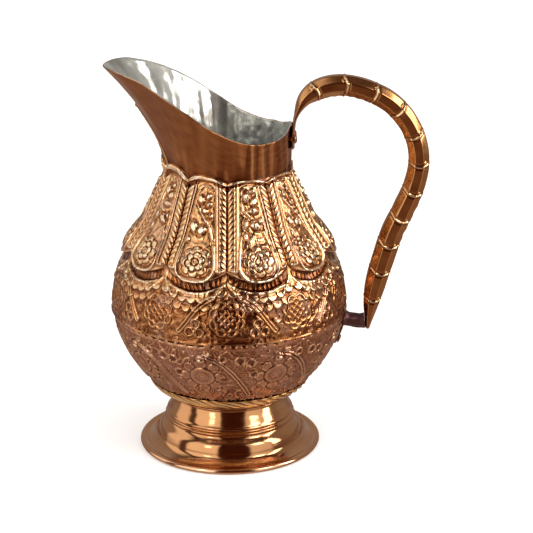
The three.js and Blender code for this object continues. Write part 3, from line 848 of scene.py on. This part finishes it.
def make_rivet(name, node, radius, normal, rivet, side, materials):
    """Hammered rivet, from its flat inside head to its domed outside head."""
    seat = -SHEET - 2 * GAP
    grip = rivet["grip"]
    head = RIVET_HEAD_RADIUS
    profile = np.array([
        [0.05, seat - RIVET_HEAD], [head * 0.7, seat - RIVET_HEAD], [head * 0.95, seat - RIVET_HEAD * 0.6],
        [head, seat], [RIVET_SHANK_RADIUS, seat], [RIVET_SHANK_RADIUS, grip], [head, grip],
        [head * 0.95, grip + RIVET_HEAD * 0.4], [head * 0.72, grip + RIVET_HEAD * 0.78],
        [head * 0.4, grip + RIVET_HEAD * 0.96], [0.05, grip + RIVET_HEAD],
    ])
    angle = full_circle(48)
    x = profile[:, :1] * np.cos(angle)
    y = profile[:, :1] * np.sin(angle)
    beaten = ripples(50 + len(name), x, y, (2.5, 5), 8)
    out = (profile[:, 1:] > grip + 0.1) * 0.1 * beaten
    local = np.stack([x, y, profile[:, 1:] + out], -1)
    a = math.radians(rivet["turn"]) * side
    axis = Vector((normal[0] * math.cos(a), normal[0] * math.sin(a), normal[1]))
    rotation = np.array(axis.to_track_quat("Z", "Y").to_matrix())
    place = np.array([radius * math.cos(a), radius * math.sin(a), rivet["height"]])
    add_grid(name, local @ rotation.T + place, materials["rivet"], [node], ends=True)


def make_rivets(materials):
    low = STRUT_RIVETS["height"]
    for side, word in ((-1, "front"), (1, "back")):
        make_rivet(f"tab_rivet_{word}", f"neck_rivet_{word}", NECK_RIVETS["wall_radius"], (1, 0),
                   NECK_RIVETS, side, materials)
        make_rivet(f"pad_rivet_{word}", f"strut_rivet_{word}", bowl_radius(low), bowl_normal(low),
                   STRUT_RIVETS, side, materials)


# ---- meshes

def add_object(name, data):
    thing = bpy.data.objects.new(name, data)
    bpy.context.scene.collection.objects.link(thing)
    return thing


def add_grid(name, points, material, nodes, tones=None, ends=False, poles=False):
    """Piece from a grid of points in rows. It closes on itself, or ends in a flat cap, or at the axis."""
    rows, columns = points.shape[:2]
    closed = not (ends or poles)
    row = np.arange(rows if closed else rows - 1)[:, None]
    column = np.arange(columns)[None, :]
    ahead = (column + 1) % columns
    low_row = row * columns
    high_row = (row + 1) % rows * columns
    quad = [low_row + column, low_row + ahead, high_row + ahead, high_row + column]
    quads = np.stack(quad, -1).reshape(-1, 4)
    vertices = points.reshape(-1, 3)
    triangles = np.zeros((0, 3), int)
    if not closed:
        first = vertices[:columns].mean(axis=0)
        last = vertices[-columns:].mean(axis=0)
        low = len(vertices)
        start = (rows - 1) * columns
        c, n = column[0], ahead[0]
        triangles = np.concatenate([
            np.stack([n, c, np.full(columns, low)], -1),
            np.stack([start + c, start + n, np.full(columns, low + 1)], -1),
        ])
        vertices = np.vstack([vertices, first, last])
    if signed_volume(vertices, quads, triangles) < 0:
        quads = quads[:, ::-1]
        triangles = triangles[:, ::-1]
    mesh = bpy.data.meshes.new(name)
    mesh.vertices.add(len(vertices))
    world = (vertices + [AXIS_X, 0, 0]) * MM
    mesh.vertices.foreach_set("co", world.astype(np.float32).ravel())
    corners = np.concatenate([quads.ravel(), triangles.ravel()]).astype(np.int32)
    mesh.loops.add(len(corners))
    mesh.loops.foreach_set("vertex_index", corners)
    starts = np.concatenate([4 * np.arange(len(quads)), 4 * len(quads) + 3 * np.arange(len(triangles))])
    mesh.polygons.add(len(starts))
    mesh.polygons.foreach_set("loop_start", starts.astype(np.int32))
    mesh.update(calc_edges=True)
    mesh.validate()
    mesh.shade_smooth()
    shade = mesh.attributes.new("relief_tone", "FLOAT", "POINT")
    values = np.full(len(vertices), 0.5, np.float32)
    if tones is not None:
        values[:rows * columns] = tones.ravel()
    shade.data.foreach_set("value", values)
    mesh.materials.append(material)
    piece = add_object(name, mesh)
    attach(piece, BODY)
    if nodes:
        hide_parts(*nodes)


def signed_volume(vertices, quads, triangles):
    parts = np.concatenate([quads[:, [0, 1, 2]], quads[:, [0, 2, 3]], triangles])
    a, b, c = (vertices[parts[:, i]] for i in range(3))
    return float(np.einsum("ij,ij->i", a, np.cross(b, c)).sum())


# ---- materials

def set_input(tree, socket, value):
    if isinstance(value, bpy.types.NodeSocket):
        tree.links.new(value, socket)
    else:
        socket.default_value = value


def add_node(tree, kind, settings=None, **inputs):
    """Adds a shader node, sets its properties, and sets or links its inputs."""
    node = tree.nodes.new(kind)
    for key, value in (settings or {}).items():
        setattr(node, key, value)
    for key, value in inputs.items():
        set_input(tree, node.inputs[key.replace("_", " ")], value)
    return node


def calculate(tree, operation, first, second):
    node = add_node(tree, "ShaderNodeMath", {"operation": operation})
    set_input(tree, node.inputs[0], first)
    set_input(tree, node.inputs[1], second)
    return node.outputs[0]


def mix_colours(tree, amount, below, above):
    node = add_node(tree, "ShaderNodeMix", {"data_type": "RGBA"})
    for index, value in ((0, amount), (6, below), (7, above)):
        set_input(tree, node.inputs[index], value)
    return node.outputs[2]


def map_range(tree, value, low, high, start=0.0, end=1.0):
    node = add_node(
        tree, "ShaderNodeMapRange", Value=value, From_Min=low, From_Max=high, To_Min=start, To_Max=end,
    )
    return node.outputs["Result"]


def noise(tree, place, scale, detail, roughness):
    node = add_node(tree, "ShaderNodeTexNoise", Vector=place, Scale=scale, Detail=detail, Roughness=roughness)
    return node.outputs["Fac"]


def colour_ramp(tree, value, stops):
    node = add_node(tree, "ShaderNodeValToRGB", Fac=value)
    ramp = node.color_ramp
    ramp.elements[0].position, ramp.elements[0].color = stops[0][0], (*stops[0][1], 1)
    ramp.elements[1].position, ramp.elements[1].color = stops[-1][0], (*stops[-1][1], 1)
    for position, colour in stops[1:-1]:
        ramp.elements.new(position).color = (*colour, 1)
    return node.outputs["Color"]


def add_bloom(tree, place, below, colour, top):
    """Pale rosy patches over a mixed colour, fading out towards a height in millimetres."""
    spread = map_range(tree, noise(tree, place, 72.0, 3.0, 0.55), 0.5, 0.68, 0.0, 0.55)
    height = add_node(tree, "ShaderNodeSeparateXYZ", Vector=place).outputs["Z"]
    fade = map_range(tree, height, (top - 8) * MM, top * MM, 1.0, 0.0)
    return mix_colours(tree, calculate(tree, "MULTIPLY", spread, fade), below, (*colour, 1))


def lines_round_axis(tree, place):
    """Distance from the vessel's axis and height, for fine lines that run round it."""
    parts = add_node(tree, "ShaderNodeSeparateXYZ", Vector=place)
    from_axis = calculate(tree, "SUBTRACT", parts.outputs["X"], AXIS_X * MM)
    flat = add_node(tree, "ShaderNodeCombineXYZ", X=from_axis, Y=parts.outputs["Y"])
    reach = add_node(tree, "ShaderNodeVectorMath", {"operation": "LENGTH"}, Vector=flat.outputs[0])
    return add_node(tree, "ShaderNodeCombineXYZ", X=reach.outputs["Value"], Z=parts.outputs["Z"]).outputs[0]


def metal(name, stops, stain, roughness, grain=0.12, grain_scale=700, turned_lines=False, cloud=0.35,
          bloom=None, metallic=1.0):
    """Worn metal. stops are colours over the relief tone, which holds the piece's painted shade and painted
    highlights as well as its patina; stain and bloom are the colours of its uneven patina.
    """
    material = bpy.data.materials.new(name)
    material.use_nodes = True
    tree = material.node_tree
    tree.nodes.clear()
    place = add_node(tree, "ShaderNodeTexCoord").outputs["Object"]
    tone = add_node(tree, "ShaderNodeAttribute", {"attribute_name": "relief_tone"}).outputs["Fac"]
    colour = colour_ramp(tree, tone, stops)
    patches = map_range(tree, noise(tree, place, 38.0, 6.0, 0.62), 0.42, 0.72, 0.0, cloud)
    colour = mix_colours(tree, patches, colour, (*stain, 1))
    if bloom:
        colour = add_bloom(tree, place, colour, bloom, NECK_BASE_Z + 8)
    gloss = map_range(tree, noise(tree, place, 95.0, 5.0, 0.7), 0.3, 0.75, *roughness)
    fine_place = lines_round_axis(tree, place) if turned_lines else place
    fine = noise(tree, fine_place, grain_scale, 4.0, 0.6)
    bump = add_node(tree, "ShaderNodeBump", Height=fine, Strength=grain, Distance=0.0002).outputs["Normal"]
    shader = add_node(
        tree, "ShaderNodeBsdfPrincipled", Metallic=metallic, Base_Color=colour, Roughness=gloss, Normal=bump,
    )
    add_node(tree, "ShaderNodeOutputMaterial", Surface=shader.outputs[0])
    return material


def make_materials():
    # In each ramp the darkest stops give painted shade and the palest stops painted highlights, where the
    # piece's tone carries painted light.
    return {
        "chased": metal(
            "chased_copper",
            [(0.0, (0.04, 0.009, 0.003)), (0.28, (0.26, 0.085, 0.028)), (0.5, (0.53, 0.25, 0.1)),
             (0.66, (0.72, 0.44, 0.21)), (1.0, (0.97, 0.8, 0.57))],
            (0.34, 0.12, 0.04), (0.16, 0.3), grain=0.2, cloud=0.5, bloom=(0.58, 0.33, 0.22),
        ),
        "bowl": metal(
            "bowl_copper",
            [(0.0, (0.05, 0.014, 0.007)), (0.35, (0.27, 0.10, 0.05)), (0.5, (0.50, 0.23, 0.12)),
             (0.7, (0.68, 0.39, 0.21)), (1.0, (0.9, 0.68, 0.44))],
            (0.36, 0.15, 0.11), (0.2, 0.36), grain=0.3, cloud=0.5, bloom=(0.54, 0.3, 0.22),
        ),
        "rope": metal(
            "rope_copper",
            [(0.0, (0.05, 0.012, 0.003)), (0.4, (0.36, 0.14, 0.04)), (0.75, (0.8, 0.5, 0.2)),
             (1.0, (0.95, 0.74, 0.4))],
            (0.5, 0.22, 0.08), (0.18, 0.3),
        ),
        "foot": metal(
            "polished_copper",
            [(0.0, (0.55, 0.275, 0.125)), (1.0, (0.84, 0.52, 0.32))],
            (0.36, 0.13, 0.045), (0.07, 0.15), grain=0.12, grain_scale=1100, turned_lines=True, cloud=0.3,
        ),
        "wire": metal(
            "wire_copper",
            [(0.0, (0.5, 0.25, 0.13)), (1.0, (0.6, 0.32, 0.18))],
            (0.3, 0.14, 0.08), (0.25, 0.4),
        ),
        "handle": metal(
            "handle_copper",
            [(0.0, (0.06, 0.016, 0.005)), (0.35, (0.32, 0.13, 0.045)), (0.5, (0.5, 0.245, 0.095)),
             (0.7, (0.76, 0.47, 0.24)), (1.0, (0.95, 0.76, 0.5))],
            (0.36, 0.14, 0.05), (0.14, 0.26), grain=0.1,
        ),
        # The strut's very dark purple-brown is painted shade: it stands for the strut and its pad as they sit
        # in shadow under the handle's lower end.
        "strut": metal(
            "strut_copper",
            [(0.0, (0.10, 0.045, 0.045)), (1.0, (0.20, 0.1, 0.095))],
            (0.07, 0.035, 0.045), (0.38, 0.6), grain=0.5, grain_scale=420, cloud=0.7,
        ),
        "rivet": metal(
            "rivet_copper",
            [(0.0, (0.45, 0.22, 0.12)), (1.0, (0.66, 0.36, 0.2))],
            (0.25, 0.11, 0.06), (0.22, 0.4), grain=0.3,
        ),
        "tin": metal(
            "tin_lining",
            [(0.0, (0.16, 0.16, 0.14)), (0.5, (0.56, 0.56, 0.51)), (1.0, (0.84, 0.84, 0.8))],
            (0.3, 0.3, 0.26), (0.14, 0.3), grain=0.3, grain_scale=500, cloud=0.5, metallic=0.76,
        ),
    }


# ---- studio

def make_floor():
    mesh = bpy.data.meshes.new("studio_floor")
    half = 9.0
    corners = [(-half, -half, 0), (half, -half, 0), (half, half, 0), (-half, half, 0)]
    mesh.from_pydata(corners, [], [(0, 1, 2, 3)])
    material = bpy.data.materials.new("studio_floor")
    material.use_nodes = True
    shader = material.node_tree.nodes["Principled BSDF"]
    shader.inputs["Base Color"].default_value = (0.86, 0.86, 0.86, 1)
    shader.inputs["Roughness"].default_value = 0.9
    mesh.materials.append(material)
    floor = add_object("studio_floor", mesh)
    floor.visible_glossy = False


def make_sun():
    """Wide soft light for the floor. The metal doesn't mirror it."""
    lamp = bpy.data.lights.new("overhead_diffuser", "SUN")
    lamp.energy = 3.2
    lamp.angle = math.radians(150)
    light = add_object("overhead_diffuser", lamp)
    light.visible_glossy = False
    light.location = (0, 0, 2)


def point_at(thing, direction):
    thing.rotation_mode = "QUATERNION"
    thing.rotation_quaternion = direction.to_track_quat("-Z", "Y")


def make_softbox(name, place, aim, size, power):
    lamp = bpy.data.lights.new(name, "AREA")
    lamp.shape = "RECTANGLE"
    lamp.size, lamp.size_y = size
    lamp.energy = power
    light = add_object(name, lamp)
    light.visible_camera = False
    light.location = place
    point_at(light, Vector(aim) - Vector(place))


# The studio round the jug as the metal sees it: how bright the light panels are over a full circle from the
# camera's side by way of the spout's side, as [turn, brightness], and how far they reach up and down, as
# [upward share of the direction, brightness]
PANELS_AROUND = [
    [0, 0], [17, 0], [20, 1], [68, 1], [73, 0.05], [82, 0.05], [88, 0.9], [112, 0.85], [118, 0.24],
    [244, 0.24], [262, 0.18], [286, 0.12], [292, 0.76], [324, 0.82], [329, 0], [360, 0],
]
PANELS_UPWARD = [
    [-1, 0], [-0.6, 0.08], [-0.45, 0.45], [-0.1, 0.45], [0.06, 1], [0.7, 1], [0.84, 0.06], [1, 0.02],
]

# What is between and beyond the panels, as [upward share of the direction, colour]
STUDIO_WALLS = [
    [-1, (0.58, 0.48, 0.42)], [-0.8, (0.48, 0.38, 0.33)], [-0.5, (0.33, 0.2, 0.145)],
    [-0.15, (0.17, 0.08, 0.05)], [0.0, (0.07, 0.018, 0.01)], [0.8, (0.06, 0.016, 0.009)],
    [0.96, (0.12, 0.07, 0.05)], [1, (0.3, 0.24, 0.2)],
]
PANEL_COLOUR = (1.55, 1.51, 1.42)


def ramp_over(tree, value, low, high, rows):
    """Colour or grey from rows of [position, level], over a range of a value."""
    part = map_range(tree, value, low, high)
    stops = []
    for at, level in rows:
        stops.append(((at - low) / (high - low), level if isinstance(level, tuple) else (level,) * 3))
    return colour_ramp(tree, part, stops)


def make_world():
    """Pale to the eye. What the metal mirrors is a dim warm room with upright light panels at its sides."""
    world = bpy.data.worlds.new("studio")
    bpy.context.scene.world = world
    world.use_nodes = True
    tree = world.node_tree
    tree.nodes.clear()
    heading = add_node(tree, "ShaderNodeTexCoord").outputs["Generated"]
    parts = add_node(tree, "ShaderNodeSeparateXYZ", Vector=heading)
    turn = calculate(tree, "ARCTAN2", parts.outputs["X"], parts.outputs["Y"])
    turned = [[math.radians(at - 180), level] for at, level in PANELS_AROUND]
    around_mask = ramp_over(tree, turn, -math.pi, math.pi, turned)
    upward_mask = ramp_over(tree, parts.outputs["Z"], -1, 1, PANELS_UPWARD)
    walls = ramp_over(tree, parts.outputs["Z"], -1, 1, STUDIO_WALLS)
    mask = calculate(tree, "MULTIPLY", around_mask, upward_mask)
    seen = mix_colours(tree, mask, walls, (*PANEL_COLOUR, 1))
    path = add_node(tree, "ShaderNodeLightPath")
    room = add_node(tree, "ShaderNodeBackground", Color=seen, Strength=1.0)
    pale = add_node(tree, "ShaderNodeBackground", Color=(1, 1, 1, 1), Strength=1.0)
    mix = add_node(tree, "ShaderNodeMixShader")
    for socket, value in zip(mix.inputs, (path.outputs["Is Camera Ray"], room.outputs[0], pale.outputs[0])):
        set_input(tree, socket, value)
    add_node(tree, "ShaderNodeOutputWorld", Surface=mix.outputs[0])


def make_studio():
    make_floor()
    make_sun()
    make_world()
    middle = (AXIS_X * MM, 0, 0.13)
    make_softbox("softbox_top", (-0.5, -0.1, 1.4), middle, (0.8, 0.5), 1.2)
    make_softbox("softbox_right", (0.78, -0.62, 0.86), middle, (0.34, 0.42), 2.8)
    make_softbox("strip_light", (1.185, -0.23, 0.66), middle, (0.34, 1.0), 8.0)
    make_softbox("softbox_left", (-0.72, -0.98, 0.62), middle, (0.2, 0.4), 1.1)


# Camera: how far down it looks in degrees, its focal length, and what it aims at beside and above the
# vessel's axis, in metres
CAMERA_ELEVATION = 19
CAMERA_LENS = 132.4
CAMERA_AIM = (AXIS_X * MM + 0.0268, 0, 0.1332)


def make_camera():
    """Level camera with azimuth 0, five jug heights away."""
    elevation = math.radians(CAMERA_ELEVATION)
    lens = bpy.data.cameras.new("camera")
    lens.sensor_width = 36
    lens.lens = CAMERA_LENS
    lens.dof.use_dof = False
    camera = add_object("camera", lens)
    back = Vector((0, -math.cos(elevation), math.sin(elevation)))
    camera.location = Vector(CAMERA_AIM) + back * (5 * JUG_HEIGHT * MM)
    point_at(camera, -back)
    bpy.context.scene.camera = camera


bpy.context.scene.view_settings.view_transform = "Standard"
make_camera()
make_studio()
finishes = make_materials()
make_upper_body(finishes)
make_lower_bowl(finishes)
make_rope_ring(finishes)
make_foot(finishes)
make_foot_wire(finishes)
make_handle(finishes)
make_strut(finishes)
make_rivets(finishes)
